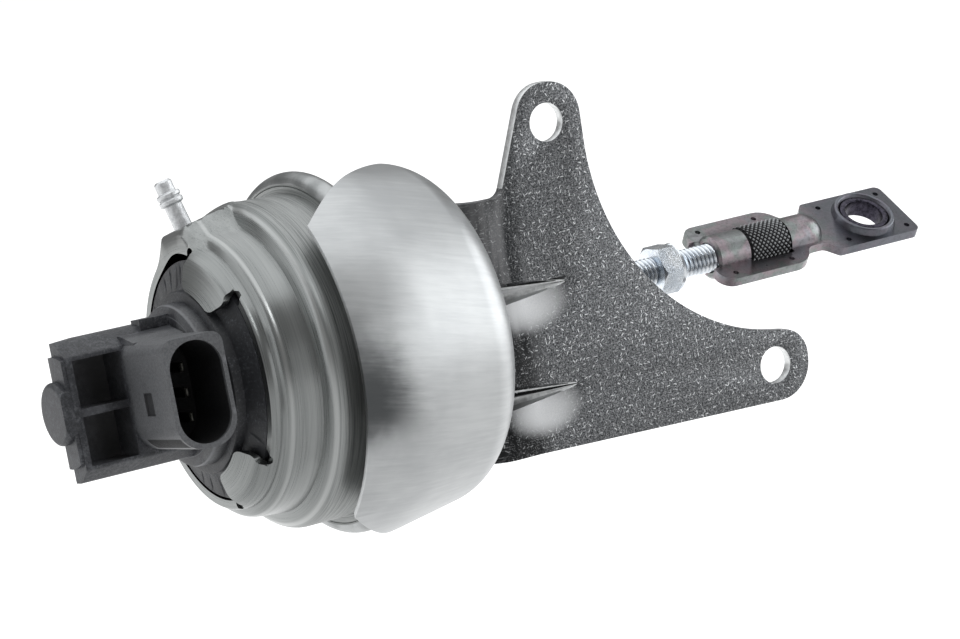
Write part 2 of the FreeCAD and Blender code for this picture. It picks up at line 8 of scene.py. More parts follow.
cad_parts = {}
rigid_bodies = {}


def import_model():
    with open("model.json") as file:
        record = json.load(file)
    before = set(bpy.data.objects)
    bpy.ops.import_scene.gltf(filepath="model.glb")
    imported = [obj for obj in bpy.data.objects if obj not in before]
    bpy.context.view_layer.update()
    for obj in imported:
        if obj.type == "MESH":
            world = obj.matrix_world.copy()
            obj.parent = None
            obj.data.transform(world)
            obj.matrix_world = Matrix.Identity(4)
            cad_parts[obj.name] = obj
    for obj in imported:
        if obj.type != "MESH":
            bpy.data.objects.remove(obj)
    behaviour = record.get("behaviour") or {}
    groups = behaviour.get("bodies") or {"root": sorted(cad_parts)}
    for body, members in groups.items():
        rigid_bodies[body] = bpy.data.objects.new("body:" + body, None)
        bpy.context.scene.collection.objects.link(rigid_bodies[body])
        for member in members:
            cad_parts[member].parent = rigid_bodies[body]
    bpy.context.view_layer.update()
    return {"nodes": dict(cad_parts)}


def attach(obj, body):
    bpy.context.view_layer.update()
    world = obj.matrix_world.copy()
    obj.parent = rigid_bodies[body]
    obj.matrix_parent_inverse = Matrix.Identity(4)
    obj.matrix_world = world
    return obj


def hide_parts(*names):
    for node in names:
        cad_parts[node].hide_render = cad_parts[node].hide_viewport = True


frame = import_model()
print("frame loaded:", len(frame["nodes"]), "nodes")

mm = 0.001
full = 2 * math.pi
weld = 0.002  # mm, corners nearer than this are one

# Where the can's axis starts in the part's frame, mm. The pieces are drawn about that axis, with x along
# the rod; clock is how far the sensor is turned about it
can = {"place": (-78.2, 13.2, -7.75), "clock": 7.0}
# The rod leans in its ball joint, and its end is turned about it
rodSet = {"ball": 21.62, "lift": 0.6, "turn": 32.6}

aboutCan = Matrix.Translation(Vector(can["place"]) * mm) @ Matrix.Scale(mm, 4)
toBall = Matrix.Translation((rodSet["ball"], 0, 0))
leaning = Matrix.Rotation(math.radians(-rodSet["lift"]), 4, "Y")
aboutRod = aboutCan @ toBall @ leaning @ toBall.inverted()
aboutEnd = aboutRod @ Matrix.Rotation(math.radians(rodSet["turn"]), 4, "X")


def deselect():
    if bpy.context.object and bpy.context.object.mode != "OBJECT":
        bpy.ops.object.mode_set(mode="OBJECT")
    bpy.ops.object.select_all(action="DESELECT")


def take(obj):
    deselect()
    obj.select_set(True)
    bpy.context.view_layer.objects.active = obj


def edit(obj):
    take(obj)
    bpy.ops.object.mode_set(mode="EDIT")
    bpy.ops.mesh.select_all(action="SELECT")


def pick(obj, kind, test):
    # edit mode: select the corners or edges that pass the test
    bpy.ops.mesh.select_mode(type={"verts": "VERT", "edges": "EDGE"}[kind])
    bpy.ops.mesh.select_all(action="DESELECT")
    shape = bmesh.from_edit_mesh(obj.data)
    for part in getattr(shape, kind):
        if test(part):
            part.select_set(True)
    bmesh.update_edit_mesh(obj.data)


def tidyFaces():
    bpy.ops.mesh.select_mode(type="VERT")
    bpy.ops.mesh.select_all(action="SELECT")
    bpy.ops.mesh.remove_doubles(threshold=weld)
    bpy.ops.mesh.normals_make_consistent(inside=False)
    bpy.ops.object.mode_set(mode="OBJECT")


def place(obj, matrix):
    take(obj)
    obj.matrix_world = matrix @ obj.matrix_world
    bpy.ops.object.transform_apply(location=True, rotation=True, scale=True)
    return obj


def modify(obj, kind, **settings):
    take(obj)
    modifier = obj.modifiers.new("step", kind)
    for name, value in settings.items():
        setattr(modifier, name, value)
    bpy.ops.object.modifier_apply(modifier="step")


def combine(obj, other, how="DIFFERENCE"):
    modify(obj, "BOOLEAN", object=other, operation=how, solver="EXACT")
    bpy.data.objects.remove(other)


def join(obj, others):
    take(obj)
    for other in others:
        other.select_set(True)
    bpy.ops.object.join()


def smooth(obj, degrees=35):
    take(obj)
    bpy.ops.object.shade_smooth_by_angle(angle=math.radians(degrees))


def corners(points, grain=0.35, closed=False):
    # corners (a, b, radius) to spots, each round stretch as short chords
    spots = []
    for i, (a, b, r) in enumerate(points):
        here = Vector((a, b))
        if r <= 0 or (not closed and i in (0, len(points) - 1)):
            spots.append(here)
            continue
        back = (Vector(points[i - 1][:2]) - here).normalized()
        on = (Vector(points[(i + 1) % len(points)][:2]) - here).normalized()
        half = back.angle(on) / 2
        middle = here + (back + on).normalized() * (r / math.sin(half))
        start = here + back * (r / math.tan(half)) - middle
        end = here + on * (r / math.tan(half)) - middle
        sweep = (math.pi - 2 * half) * (1 if start.cross(end) > 0 else -1)
        count = max(3, round(abs(sweep) * r / grain))
        for k in range(count + 1):
            spots.append(middle + Matrix.Rotation(sweep * k / count, 2) @ start)
    return spots


def strip(points, wall):
    # corners of a sheet's section; a positive wall lies to the left of the path
    shifted = []
    last = len(points) - 1
    for i, (a, b, r) in enumerate(points):
        steps = []
        for j in (i - 1, i):
            if 0 <= j < last:
                steps.append((Vector(points[j + 1][:2]) - Vector(points[j][:2])).normalized())
        normals = [Vector((-step.y, step.x)) for step in steps]
        if len(normals) == 1:
            move, radius = normals[0] * wall, 0
        else:
            move = (normals[0] + normals[1]) * (wall / (1 + normals[0].dot(normals[1])))
            side = 1 if steps[0].cross(steps[1]) > 0 else -1
            radius = max(r - side * wall, 0) if r > 0 else 0
        shifted.append((a + move.x, b + move.y, radius))
    return list(points) + shifted[::-1]


def drawLine(name, spots, closed=False):
    # one vertex, extruded from spot to spot
    deselect()
    bpy.ops.mesh.primitive_plane_add(size=1)
    obj = bpy.context.object
    obj.name = name
    bpy.ops.object.mode_set(mode="EDIT")
    bpy.ops.mesh.select_mode(type="VERT")
    bpy.ops.mesh.select_all(action="SELECT")
    bpy.ops.mesh.merge(type="CENTER")
    bpy.ops.transform.translate(value=spots[0])
    for before, after in zip(spots, spots[1:]):
        bpy.ops.mesh.extrude_vertices_move(TRANSFORM_OT_translate={"value": after - before})
    if closed:
        ends = (spots[0], spots[-1])
        pick(obj, "verts", lambda v: min((v.co - end).length for end in ends) < weld / 20)
        bpy.ops.mesh.edge_face_add()
    return obj


def turned(name, spots, closed=True, steps=96):
    # a line of (x, r) spun about the x axis
    obj = drawLine(name, [Vector((x, 0, r)) for x, r in spots], closed)
    bpy.ops.mesh.select_all(action="SELECT")
    bpy.ops.mesh.spin(steps=steps, angle=full, center=(0, 0, 0), axis=(1, 0, 0))
    tidyFaces()
    return obj


def slab(name, spots, base, up):
    # a flat outline, filled and extruded; base turns (a, b) to a spot
    obj = drawLine(name, [base(p) for p in spots], closed=True)
    bpy.ops.mesh.select_all(action="SELECT")
    bpy.ops.mesh.edge_face_add()
    bpy.ops.mesh.extrude_region_move(TRANSFORM_OT_translate={"value": up})
    tidyFaces()
    return obj


def copyNode(node, name, flat=0.6):
    # a CAD node's own mesh, welded, with its flats made whole faces again
    take(frame["nodes"][node])
    bpy.ops.object.duplicate()
    obj = bpy.context.object
    obj.name = name
    for key in list(obj.keys()):
        del obj[key]
    bpy.ops.object.parent_clear(type="CLEAR_KEEP_TRANSFORM")
    obj.matrix_world = Matrix.Identity(4)
    edit(obj)
    bpy.ops.mesh.remove_doubles(threshold=weld * mm)
    bpy.ops.mesh.dissolve_limited(angle_limit=math.radians(flat))
    bpy.ops.object.mode_set(mode="OBJECT")
    if obj.data.has_custom_normals:
        bpy.ops.mesh.customdata_custom_splitnormals_clear()
    obj.data.materials.clear()
    return obj


def hand(obj, body, finish, slot, *nodes):
    # gives the piece its finish, its body and the nodes that it stands for
    obj.data.materials.clear()
    for one in finish if isinstance(finish, list) else [finish]:
        obj.data.materials.append(one)
    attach(obj, body)
    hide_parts(*nodes)


class Wire:
    # a socket that can be reckoned with: each operator adds its own node
    def __init__(self, finish, socket):
        self.finish = finish
        self.socket = socket

    def maths(self, how, *others):
        return self.finish.node("ShaderNodeMath", {"operation": how}, dict(enumerate((self,) + others)))

    def __add__(self, other):
        return self.maths("ADD", other)

    def __mul__(self, other):
        return self.maths("MULTIPLY", other)

    def __sub__(self, other):
        return self.maths("SUBTRACT", other)

    def __truediv__(self, other):
        return self.maths("DIVIDE", other)

    def __pow__(self, other):
        return self.maths("POWER", other)

    def __rsub__(self, other):
        return self.finish.node("ShaderNodeMath", {"operation": "SUBTRACT"}, {0: other, 1: self})

    def __rtruediv__(self, other):
        return self.finish.node("ShaderNodeMath", {"operation": "DIVIDE"}, {0: other, 1: self})

    __radd__ = __add__
    __rmul__ = __mul__

    def rise(self, low, high):
        # 0 below low, 1 above high, smooth between
        return self.finish.node("ShaderNodeMapRange", {"interpolation_type": "SMOOTHSTEP"},
                                {"Value": self, "From Min": low, "From Max": high})

    def fall(self, low, high):
        return 1 - self.rise(low, high)

    def near(self, centre, inner, outer):
        # 1 within inner of the centre, 0 beyond outer
        return (self - centre).maths("ABSOLUTE").fall(inner, outer)

    def capped(self):
        return self.maths("MINIMUM", 1.0)


class Finish:
    # one material, with a principled shader and the coordinates of the part in mm
    def __init__(self, name, **fixed):
        self.material = bpy.data.materials.new(name)
        self.material.use_nodes = True
        self.tree = self.material.node_tree
        self.shader = self.tree.nodes["Principled BSDF"]
        for socket, value in fixed.items():
            self.shader.inputs[socket.replace("_", " ")].default_value = value

    def node(self, kind, settings, sockets, output=0):
        made = self.tree.nodes.new(kind)
        for name, value in settings.items():
            if name == "stops":
                ramp = made.color_ramp.elements
                while len(ramp) < len(value):
                    ramp.new(0.5)
                for stop, (spot, colour) in zip(ramp, value):
                    stop.position = spot
                    stop.color = (*colour, 1)
            else:
                setattr(made, name, value)
        for name, value in sockets.items():
            if isinstance(value, Wire):
                self.tree.links.new(value.socket, made.inputs[name])
            else:
                made.inputs[name].default_value = value
        return Wire(self, made.outputs[output])

    def spot(self, centre=(0, 0, 0)):
        # object coordinates in mm, from a centre
        at = self.node("ShaderNodeTexCoord", {}, {}, "Object")
        at = self.node("ShaderNodeVectorMath", {"operation": "SCALE"}, {0: at, "Scale": 1 / mm})
        return self.node("ShaderNodeVectorMath", {"operation": "SUBTRACT"}, {0: at, 1: centre})

    def split(self, vector):
        made = self.tree.nodes.new("ShaderNodeSeparateXYZ")
        self.tree.links.new(vector.socket, made.inputs[0])
        return [Wire(self, out) for out in made.outputs]

    def vector(self, x=0.0, y=0.0, z=0.0):
        return self.node("ShaderNodeCombineXYZ", {}, {0: x, 1: y, 2: z})

    def round(self, centre=None):
        # length along the can's axis, radius and turn about it
        x, y, z = self.split(self.spot(centre or can["place"]))
        r = (y * y + z * z) ** 0.5
        turn = z.maths("ARCTAN2", y * -1)
        return x, r, turn

    def noise(self, vector, size, detail=3.0, rough=0.55, warp=0.0):
        return self.node("ShaderNodeTexNoise", {}, {"Vector": vector, "Scale": 1 / size, "Detail": detail,
                                                    "Roughness": rough, "Distortion": warp})

    def mix(self, amount, first, second):
        made = self.tree.nodes.new("ShaderNodeMix")
        made.data_type = "RGBA"
        for index, value in ((0, amount), (6, first), (7, second)):
            if isinstance(value, Wire):
                self.tree.links.new(value.socket, made.inputs[index])
            else:
                made.inputs[index].default_value = (*value, 1) if index else value
        return Wire(self, made.outputs[2])

    def also(self, wire, output):
        return Wire(self, wire.socket.node.outputs[output])

    def dashes(self, a, b, size, long, wide):
        # short strokes, one in each cell, each at its own angle and strength, with soft edges
        flat = self.vector(a / size, b / size)
        cell = self.node("ShaderNodeTexVoronoi", {"voronoi_dimensions": "2D"},
                         {"Vector": flat, "Scale": 1.0})
        chance, strength = self.split(self.also(cell, "Color"))[:2]
        off = self.node("ShaderNodeVectorMath", {"operation": "SUBTRACT"},
                        {0: flat, 1: self.also(cell, "Position")})
        u, v = self.split(off)[:2]
        angle = chance * math.pi
        turned, level = angle.maths("SINE"), angle.maths("COSINE")
        along = (u * level + v * turned).maths("ABSOLUTE")
        across = (v * level - u * turned).maths("ABSOLUTE")
        return along.fall(long * 0.7, long) * across.fall(wide * 0.5, wide) * strength.rise(0.3, 1.0)

    def feed(self, **sockets):
        for name, value in sockets.items():
            self.tree.links.new(value.socket, self.shader.inputs[name.replace("_", " ")])
        return self

    def bump(self, height, depth, under=None):
        # height 0..1 stands for this depth in mm, over a finer bump if there is one
        sockets = {"Height": height, "Distance": depth * mm}
        if under:
            sockets["Normal"] = under
        return self.node("ShaderNodeBump", {}, sockets)


# Finishes: the range that most of a noise lies in, and a sharper one
middling = (0.3, 0.7)
narrow = (0.35, 0.65)

# Drawn steel: its colours, the painted highlights along its crest lines and its flange, in mm along the
# can
drawn = {
    "tone": [(0.185, 0.195, 0.192), (0.39, 0.40, 0.395)], "crest": (0.80, 0.81, 0.80),
    "crestHighlights": [{"x": -7.9, "half": 0.6, "amount": 0.35}, {"x": -15.1, "half": 0.5, "amount": 0.25}],
    "flange": (-8.5, -5.5), "pale": (0.62, 0.63, 0.62),
}


def drawnSteel(u):
    # turned lines in a soft cloud, a painted highlight along each crest, paler and rougher on the flange
    f = Finish("drawnSteel", Metallic=1.0)
    x, r, turn = f.round()
    lines = f.noise(f.vector(x * 5.0, r * 5.0, turn * 1.6), size=1.0, detail=4.0, rough=0.7)
    cloud = f.noise(f.vector(x, r, turn * 1.2), size=7.0, detail=4.0, rough=0.6)
    fleck = f.noise(f.spot(), size=0.5, detail=2.0).rise(0.66, 0.78)
    colour = f.mix((lines * 0.35 + cloud * 0.65).rise(*middling), *u["tone"])
    # painted highlight: the crests of the beads are lighter, where they would catch the light
    crest = 0.0
    for ring in u["crestHighlights"]:
        crest = crest + x.near(ring["x"], 0.1, ring["half"]) * ring["amount"]
    colour = f.mix(crest, colour, u["crest"])
    flange = x.rise(*u["flange"])
    colour = f.mix(flange * lines.rise(*narrow) * 0.5, colour, u["pale"])
    return f.feed(Base_Color=colour, Roughness=0.17 + 0.14 * lines + 0.10 * cloud + 0.26 * flange,
                  Normal=f.bump(lines * 0.7 + fleck * 0.3, 0.012)).material


def rimSteel(low, high):
    f = Finish("rimSteel", Metallic=1.0)
    x, r, turn = f.round()
    lines = f.noise(f.vector(x * 4.0, r * 4.0, turn * 2.0), size=1.0, detail=4.0, rough=0.7)
    cloud = f.noise(f.spot(), size=5.0, detail=4.0)
    return f.feed(Base_Color=f.mix(cloud.rise(*middling), low, high), Roughness=0.28 + 0.14 * lines,
                  Normal=f.bump(lines, 0.015)).material


# Satin steel: the painted dark reflection's edges are in mm along the can, up from its axis and across it
satin = {
    "tone": [(0.46, 0.47, 0.475), (0.59, 0.60, 0.60)],
    "darkReflection": {"colour": (0.055, 0.058, 0.06), "amount": 0.92, "slant": 0.25, "ahead": (-3.0, 8.5),
              "bottom": (-15.0, -5.0), "top": (-1.0, 16.0), "back": (-20.0, -10.0), "ragged": (6.0, 3.0)},
}


def shieldSteel(u):
    # brushed round the cup, with a soft painted dark reflection with ragged edges at its front
    f = Finish("shieldSteel", Metallic=1.0)
    x, r, turn = f.round()
    sweep = turn * 26.0 + x * 0.16
    brushed = f.noise(f.vector(sweep * 1.6, x * 0.10, r * 0.3), size=1.0, detail=4.0, rough=0.65)
    cloud = f.noise(f.spot(), size=16.0)
    colour = f.mix((brushed * 0.4 + cloud * 0.6).rise(0.32, 0.7), *u["tone"])
    # painted reflection: a soft dark patch on the front of the cup
    s = u["darkReflection"]
    side, up = f.split(f.spot(can["place"]))[1:]
    wave, comb = s["ragged"]
    ragged = (f.noise(f.spot(), size=7.0, rough=0.5) - 0.5) * wave + (brushed - 0.5) * comb
    edge = up + ragged
    darkReflection = (x + ragged + up * s["slant"]).fall(*s["ahead"]) * edge.rise(*s["bottom"])
    darkReflection = darkReflection * edge.fall(*s["top"]) * side.fall(*s["back"])
    return f.feed(Base_Color=f.mix(darkReflection * s["amount"], colour, s["colour"]),
                  Roughness=0.33 + 0.06 * brushed + 0.08 * cloud, Normal=f.bump(brushed, 0.005)).material


# Zinc: short strokes of three sizes, and where each rib's crease runs, its height and how far its scoop
# goes down, in mm from the part's origin
zinc = {
    "strokes": {"size": 0.95, "long": 0.42, "wide": 0.12, "amount": 1.6},
    "small": [{"shift": 40, "stretch": 1.1, "size": 0.55, "long": 0.5, "wide": 0.17, "amount": 0.6},
              {"shift": 80, "stretch": 0.9, "size": 0.4, "long": 0.5, "wide": 0.22, "amount": 0.4}],
    "ribs": [{"from": -39.0, "to": -21.3, "z": -1.4, "deep": 9.5, "middle": -32.5},
             {"from": -39.0, "to": -21.3, "z": -22.6, "deep": 9.0, "middle": -32.0}],
    "scoopHighlight": {"long": 8.0, "ragged": 0.9, "soft": (-0.35, 1.5), "dent": 1.5},
    "face": (5.0, 9.0), "bend": (-38.0, -29.0), "hollow": {"x": (-36.0, -29.0), "z": (-12.5, -8.5)},
    "tone": [(0.018, 0.019, 0.021), (0.21, 0.215, 0.222)], "stroke": (0.72, 0.73, 0.74),
    "bendShadeBands": [(0.012, 0.013, 0.014), (0.17, 0.17, 0.173)], "shade": (0.012, 0.0125, 0.013),
    "paintedHighlightTone": [(0.74, 0.75, 0.76), (0.95, 0.95, 0.95)], "creaseShadow": (0.01, 0.01, 0.01),
}


def zincPlate(u):
    # crystals in the zinc as short strokes; below each rib a soft dent with a painted highlight, a painted
    # shadow along each rib's line, painted shade in streaks on the bend and in a dark zone low by it
    f = Finish("zincPlate", Metallic=0.9)
    x, y, z = f.split(f.spot())
    fine = f.noise(f.spot(), size=0.36, detail=4.0, rough=0.8)
    cloud = f.noise(f.spot(), size=8.0)
    along = x + y
    bold = u["strokes"]
    strokes = f.dashes(along, z, bold["size"], bold["long"], bold["wide"])
    strokes = strokes * strokes * bold["amount"]
    for s in u["small"]:
        more = f.dashes(along + s["shift"], z * s["stretch"], s["size"], s["long"], s["wide"])
        strokes = strokes + more * s["amount"]
    face = y.fall(*u["face"])
    front = f.split(f.node("ShaderNodeTexCoord", {}, {}, "Normal"))[1].fall(0.0, 0.4) * face
    soft = u["scoopHighlight"]
    scoopHighlight, height, creaseShadow = 0.0, 0.0, 0.0
    for rib in u["ribs"]:
        below = rib["z"] - z
        fade = x.fall(rib["from"] + 0.3 * (rib["to"] - rib["from"]), rib["to"] + 1.0)
        inside = below.rise(-0.35, 0.35)
        height = height + inside * below.fall(0.4, rib["deep"]) * fade
        wide = (below - rib["deep"] * 0.38) / (rib["deep"] * 0.55)
        long = (x - rib["middle"]) / soft["long"]
        ragged = (fine - 0.5) * soft["ragged"]
        scoopHighlight = scoopHighlight + inside * (wide * wide + long * long + ragged).fall(*soft["soft"])
        # painted shadow: a thin dark line where each rib meets the face
        creaseShadow = creaseShadow + below.near(0.0, 0.12, 0.4) * x.fall(rib["to"] - 5.0, rib["to"])
    scoopHighlight = (scoopHighlight * front).capped()
    creaseShadow = (creaseShadow * front).capped()
    bend = x.fall(*u["bend"]) * face
    bendShadeBands = f.noise(f.vector(x * 0.36, z * 0.03), size=1.0, detail=1.0).rise(0.38, 0.66)
    colour = f.mix(fine.rise(0.38, 0.62), *u["tone"])
    # painted shade: darker streaks on the bend
    colour = f.mix(bend * 0.9, colour, f.mix(bendShadeBands, *u["bendShadeBands"]))
    # painted shade: a dark zone low by the bend, near the shield
    hollow = x.fall(*u["hollow"]["x"]) * z.fall(*u["hollow"]["z"]) * front
    colour = f.mix(hollow * 0.85, colour, u["shade"])
    # painted highlight: the dent below each rib is lighter
    colour = f.mix(scoopHighlight * 0.95, colour, f.mix(fine.rise(*middling), *u["paintedHighlightTone"]))
    colour = f.mix(creaseShadow * 0.9, colour, u["creaseShadow"])
    plain = (scoopHighlight + bend * 0.8).capped()
    light = (strokes * (0.25 + 0.9 * cloud)).capped() * (1 - plain * 0.75) * (1 - creaseShadow)
    grain = f.bump(fine * 0.5 + light * 0.5, 0.04)
    return f.feed(Base_Color=f.mix(light, colour, u["stroke"]),
                  Roughness=0.40 + 0.20 * fine - 0.12 * light,
                  Normal=f.bump(1 - height, soft["dent"], under=grain)).material


# Moulding: in mm, x along the can, out from its axis towards the socket's mouth, high up along the socket.
# Three numbers are a middle and where the fade round it starts and ends
moulding = {
    "tone": [(0.012, 0.013, 0.016), (0.060, 0.062, 0.070)], "dust": (0.14, 0.145, 0.158),
    "shroud": {"out": (4.4, 6.5), "tone": [(0.085, 0.088, 0.093), (0.17, 0.173, 0.18)]},
    "mouth": {"x": (-23.5, -21.0), "tone": [(0.010, 0.011, 0.014), (0.16, 0.17, 0.19)]},
    "arcHighlightRings": {"apart": 1.9, "x": (-25.2, -24.6), "colour": (0.26, 0.265, 0.28)},
    "pocketShading": {"out": (3.4, 4.5), "from": (-46.4, -46.0), "to": (-36.7, -36.3), "high": (-0.5, 9.7, 10.2),
             "tone": [(0.06, 0.06, 0.068), (0.14, 0.143, 0.155)], "dark": (0.002, 0.002, 0.002),
             "shade": (-44.5, -38.5)},
    "socket": {"from": (7.3, 7.5), "to": (21.2, 22.0), "x": (-30.4, 5.35, 5.5), "high": (0.0, 9.45, 9.6)},
    "notch": {"out": (12.9, 1.72, 1.85), "high": (-1.0, 2.1, 2.25), "from": (-36.6, -36.4),
              "to": (-35.9, -35.7)},
    "hole": (0.004, 0.004, 0.005),
}


def sensorPlastic(u):
    # paler on the shroud; near black painted shade in the pocket, the socket and the notch; painted
    # highlights as light rings on the turret; darker on the flange in the can's mouth
    f = Finish("sensorPlastic", Metallic=0.0, Specular_IOR_Level=0.5)
    x, r = f.round()[:2]
    side, up = f.split(f.spot(can["place"]))[1:]
    sine, cosine = math.sin(math.radians(can["clock"])), math.cos(math.radians(can["clock"]))
    out = up * sine - side * cosine
    high = side * sine + up * cosine
    fine = f.noise(f.spot(), size=0.45, detail=5.0, rough=0.8)
    cloud = f.noise(f.spot(), size=4.0, detail=4.0, rough=0.7)
    dust = (f.noise(f.spot(), size=0.7, rough=0.75) * 0.6 + cloud * 0.4).rise(0.47, 0.62)
    colour = f.mix(fine.rise(0.3, 0.72), *u["tone"])
    colour = f.mix(dust * 0.6, colour, u["dust"])
    # the shroud is paler, in its own mottled tone
    paleShroud = f.mix(fine.rise(0.3, 0.72), *u["shroud"]["tone"])
    colour = f.mix(out.rise(*u["shroud"]["out"]) * 0.8, colour, paleShroud)
    mouth, arcHighlightRings = x.rise(*u["mouth"]["x"]), u["arcHighlightRings"]
    colour = f.mix(mouth * 0.8, colour, f.mix(dust * fine.rise(0.45, 0.7), *u["mouth"]["tone"]))
    # painted highlights: light rings on the turret, where its concentric steps would catch the light
    arcHighlightMask = (r.maths("PINGPONG", arcHighlightRings["apart"]) - arcHighlightRings["apart"] / 2).maths("ABSOLUTE").rise(0.75, 0.95)
    colour = f.mix(arcHighlightMask * x.rise(*arcHighlightRings["x"]) * (1 - mouth) * 0.5, colour, arcHighlightRings["colour"])
    pocketShading, hole, notch = u["pocketShading"], u["socket"], u["notch"]
    # painted shade: the pocket is near black, darkest deepest in
    pocket = out.fall(*pocketShading["out"]) * x.rise(*pocketShading["from"]) * x.fall(*pocketShading["to"])
    pocket = pocket * high.near(*pocketShading["high"])
    pocketShadeTone = f.mix(cloud.rise(*narrow), *pocketShading["tone"])
    colour = f.mix(pocket, colour, f.mix(x.rise(*pocketShading["shade"]) * 0.9, pocketShadeTone, pocketShading["dark"]))
    # painted shade: near black down in the socket and in the notch
    deep = out.rise(*hole["from"]) * out.fall(*hole["to"]) * x.near(*hole["x"]) * high.near(*hole["high"])
    slitShade = out.near(*notch["out"]) * high.near(*notch["high"])
    slitShade = slitShade * x.rise(*notch["from"]) * x.fall(*notch["to"])
    colour = f.mix((deep + slitShade * 0.75).capped(), colour, u["hole"])
    return f.feed(Base_Color=colour, Roughness=0.36 + 0.18 * fine + 0.1 * dust + 0.25 * deep,
                  Normal=f.bump(fine, 0.06)).material


# Rod: depth is the radius over which the thread's groove darkens, a painted shade
zincBlue = {"tone": [(0.68, 0.73, 0.79), (0.92, 0.95, 0.98)], "groove": (0.12, 0.14, 0.17),
            "depth": (2.45, 2.92), "thread": (59.5, 60.5)}


def zincRod(u):
    # bluish, with painted shade down in the thread; z is taken from the leaning rod's axis
    f = Finish("zincRod", Metallic=1.0)
    x, y, z = f.split(f.spot(can["place"]))
    z = z - (x - rodSet["ball"]) * math.tan(math.radians(rodSet["lift"]))
    r = (y * y + z * z) ** 0.5
    groove = r.fall(*u["depth"]) * x.rise(*u["thread"])
    grain = f.noise(f.spot(), size=0.8, detail=4.0, rough=0.7)
    cloud = f.noise(f.spot(), size=3.0, rough=0.6)
    colour = f.mix(cloud.rise(*narrow), *u["tone"])
    return f.feed(Base_Color=f.mix(groove * 0.6, colour, u["groove"]), Roughness=0.14 + 0.2 * grain,
                  Normal=f.bump(grain, 0.04)).material


# Passivated steel: the eye's x is from the part's origin
tints = {
    "stops": [(0.34, (0.27, 0.265, 0.285)), (0.45, (0.31, 0.255, 0.275)), (0.55, (0.23, 0.255, 0.245)),
              (0.66, (0.29, 0.29, 0.30))],
    "eye": {"x": (44.0, 52.0), "colour": (0.11, 0.115, 0.14)}, "pores": (0.07, 0.07, 0.078),
}


def passivated(u):
    # faint reds and greens over dark grey, darker round the eye
    f = Finish("passivated", Metallic=1.0, Coat_Weight=0.2, Coat_Roughness=0.2)
    fine = f.noise(f.spot(), size=0.7, detail=4.0, rough=0.7)
    hue = f.noise(f.spot(), size=5.0, detail=2.0, rough=0.5, warp=0.3)
    colour = f.node("ShaderNodeValToRGB", {"stops": u["stops"]}, {"Fac": hue})
    x = f.split(f.spot())[0]
    colour = f.mix(x.rise(*u["eye"]["x"]) * 0.8, colour, u["eye"]["colour"])
    return f.feed(Base_Color=f.mix(fine.rise(0.42, 0.8) * 0.6, colour, u["pores"]),
                  Roughness=0.21 + 0.2 * fine, Normal=f.bump(fine, 0.045)).material


knurling = {"middle": 110.7, "tips": (4.60, 4.88), "tone": [(0.012, 0.012, 0.013), (0.42, 0.43, 0.44)]}


def blackKnurl(u):
    # the tips of the knurl are lighter
    f = Finish("blackKnurl", Metallic=0.8)
    lift = (u["middle"] - rodSet["ball"]) * math.tan(math.radians(rodSet["lift"]))
    r = f.round(Vector(can["place"]) + Vector((0, 0, lift)))[1]
    grain = f.noise(f.spot(), size=0.5)
    return f.feed(Base_Color=f.mix(r.rise(*u["tips"]), *u["tone"]), Roughness=0.36 + 0.2 * grain,
                  Normal=f.bump(grain, 0.02)).material


def grained(name, low, high, rough, size=1.2, detail=4.0, coarse=0.65, vary=0.15, depth=0.02, metal=1.0):
    # two tones mixed by one grain
    f = Finish(name, Metallic=metal)
    grain = f.noise(f.spot(), size, detail, coarse)
    return f.feed(Base_Color=f.mix(grain.rise(*middling), low, high), Roughness=rough + vary * grain,
                  Normal=f.bump(grain, depth)).material


def plainMould(name, low, high, rough, size=1.5):
    return grained(name, low, high, rough, size, depth=0.03, metal=0.0)


steel = {
    "drawn": drawnSteel(drawn), "shield": shieldSteel(satin), "plate": zincPlate(zinc),
    "rod": zincRod(zincBlue), "end": passivated(tints), "knurl": blackKnurl(knurling),
    "rim": rimSteel((0.27, 0.28, 0.28), (0.46, 0.47, 0.47)),
    # bare cut steel, also a painted highlight on the bracket's eased front edges
    "cut": grained("cutSteelAndHighlight", (0.62, 0.63, 0.63), (0.86, 0.87, 0.87), 0.30, 0.9, coarse=0.7, vary=0.2),
    "nipple": grained("nippleSteel", (0.58, 0.59, 0.60), (0.88, 0.89, 0.90), 0.38, 0.7, detail=5.0,
                      coarse=0.75, vary=0.2, depth=0.06),
    "bush": grained("bushSteel", (0.018, 0.017, 0.024), (0.075, 0.068, 0.092), 0.20, 0.8, coarse=0.7,
                    vary=0.18, depth=0.03),
    "piston": grained("pistonSteel", (0.40, 0.40, 0.41), (0.55, 0.55, 0.56), 0.35),
    "spring": grained("springSteel", (0.28, 0.28, 0.30), (0.42, 0.42, 0.44), 0.30),
    "magnet": grained("magnetGrey", (0.10, 0.10, 0.11), (0.18, 0.18, 0.19), 0.45),
    # painted shade: the terminals are near black, deep in the socket
    "shadedTin": grained("terminalTinShaded", (0.02, 0.02, 0.018), (0.08, 0.078, 0.07), 0.35, 0.6),
}
mould = {
    "sensor": sensorPlastic(moulding),
    "board": plainMould("boardGreen", (0.02, 0.10, 0.05), (0.03, 0.16, 0.08), 0.35),
    "chip": plainMould("chipBlack", (0.015, 0.015, 0.016), (0.03, 0.03, 0.03), 0.5),
    "seal": plainMould("sealRubber", (0.012, 0.012, 0.012), (0.03, 0.03, 0.03), 0.6),
    "diaphragm": plainMould("diaphragmRubber", (0.02, 0.02, 0.02), (0.05, 0.05, 0.05), 0.7, 0.8),
    "hub": plainMould("hubPlastic", (0.05, 0.05, 0.055), (0.09, 0.09, 0.095), 0.45),
}
print("finishes mixed")


